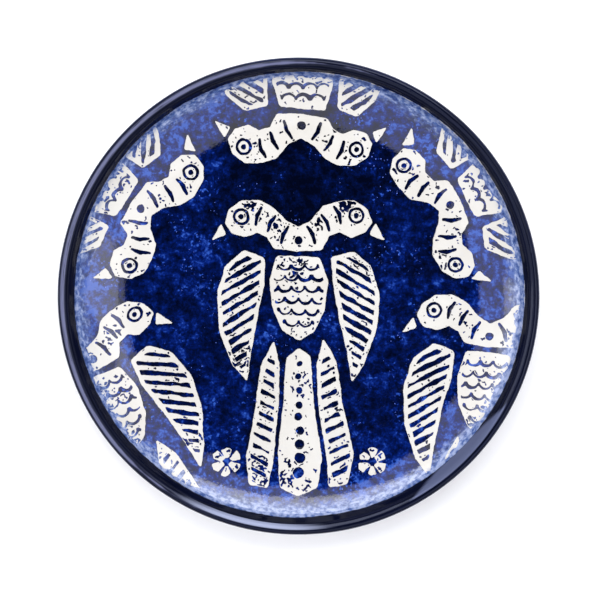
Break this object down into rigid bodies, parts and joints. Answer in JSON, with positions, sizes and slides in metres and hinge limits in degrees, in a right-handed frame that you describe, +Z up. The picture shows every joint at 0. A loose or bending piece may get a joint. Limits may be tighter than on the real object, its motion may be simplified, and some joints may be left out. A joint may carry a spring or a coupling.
{
  "type": "hand painted ceramic plate",
  "caption": "Round shallow ceramic plate with an upright lip, a foot ring, and cobalt glaze over white that leaves painted double-headed birds in reserve.",
  "frame": {"origin": "centre of the plate on the plane its foot ring stands on", "axes": "+Z up along the plate's axis, +Y towards the top of the painted picture, +X to the picture's right"},
  "size_m": [0.2598, 0.2598, 0.0278],
  "materials": {
    "clay": "fired, unglazed",
    "white_glaze": "gloss",
    "cobalt_glaze": "gloss, mottled",
    "band_glaze": "gloss",
    "back_glaze": "gloss"
  },
  "bodies": {
    "root": {"clay_body": "clay", "foot_ring": "clay", "white_glaze": "white_glaze", "cobalt_glaze": "cobalt_glaze", "rim_band": "band_glaze", "back_glaze": "back_glaze", "foot_well_glaze": "back_glaze"}
  },
  "joints": []
}
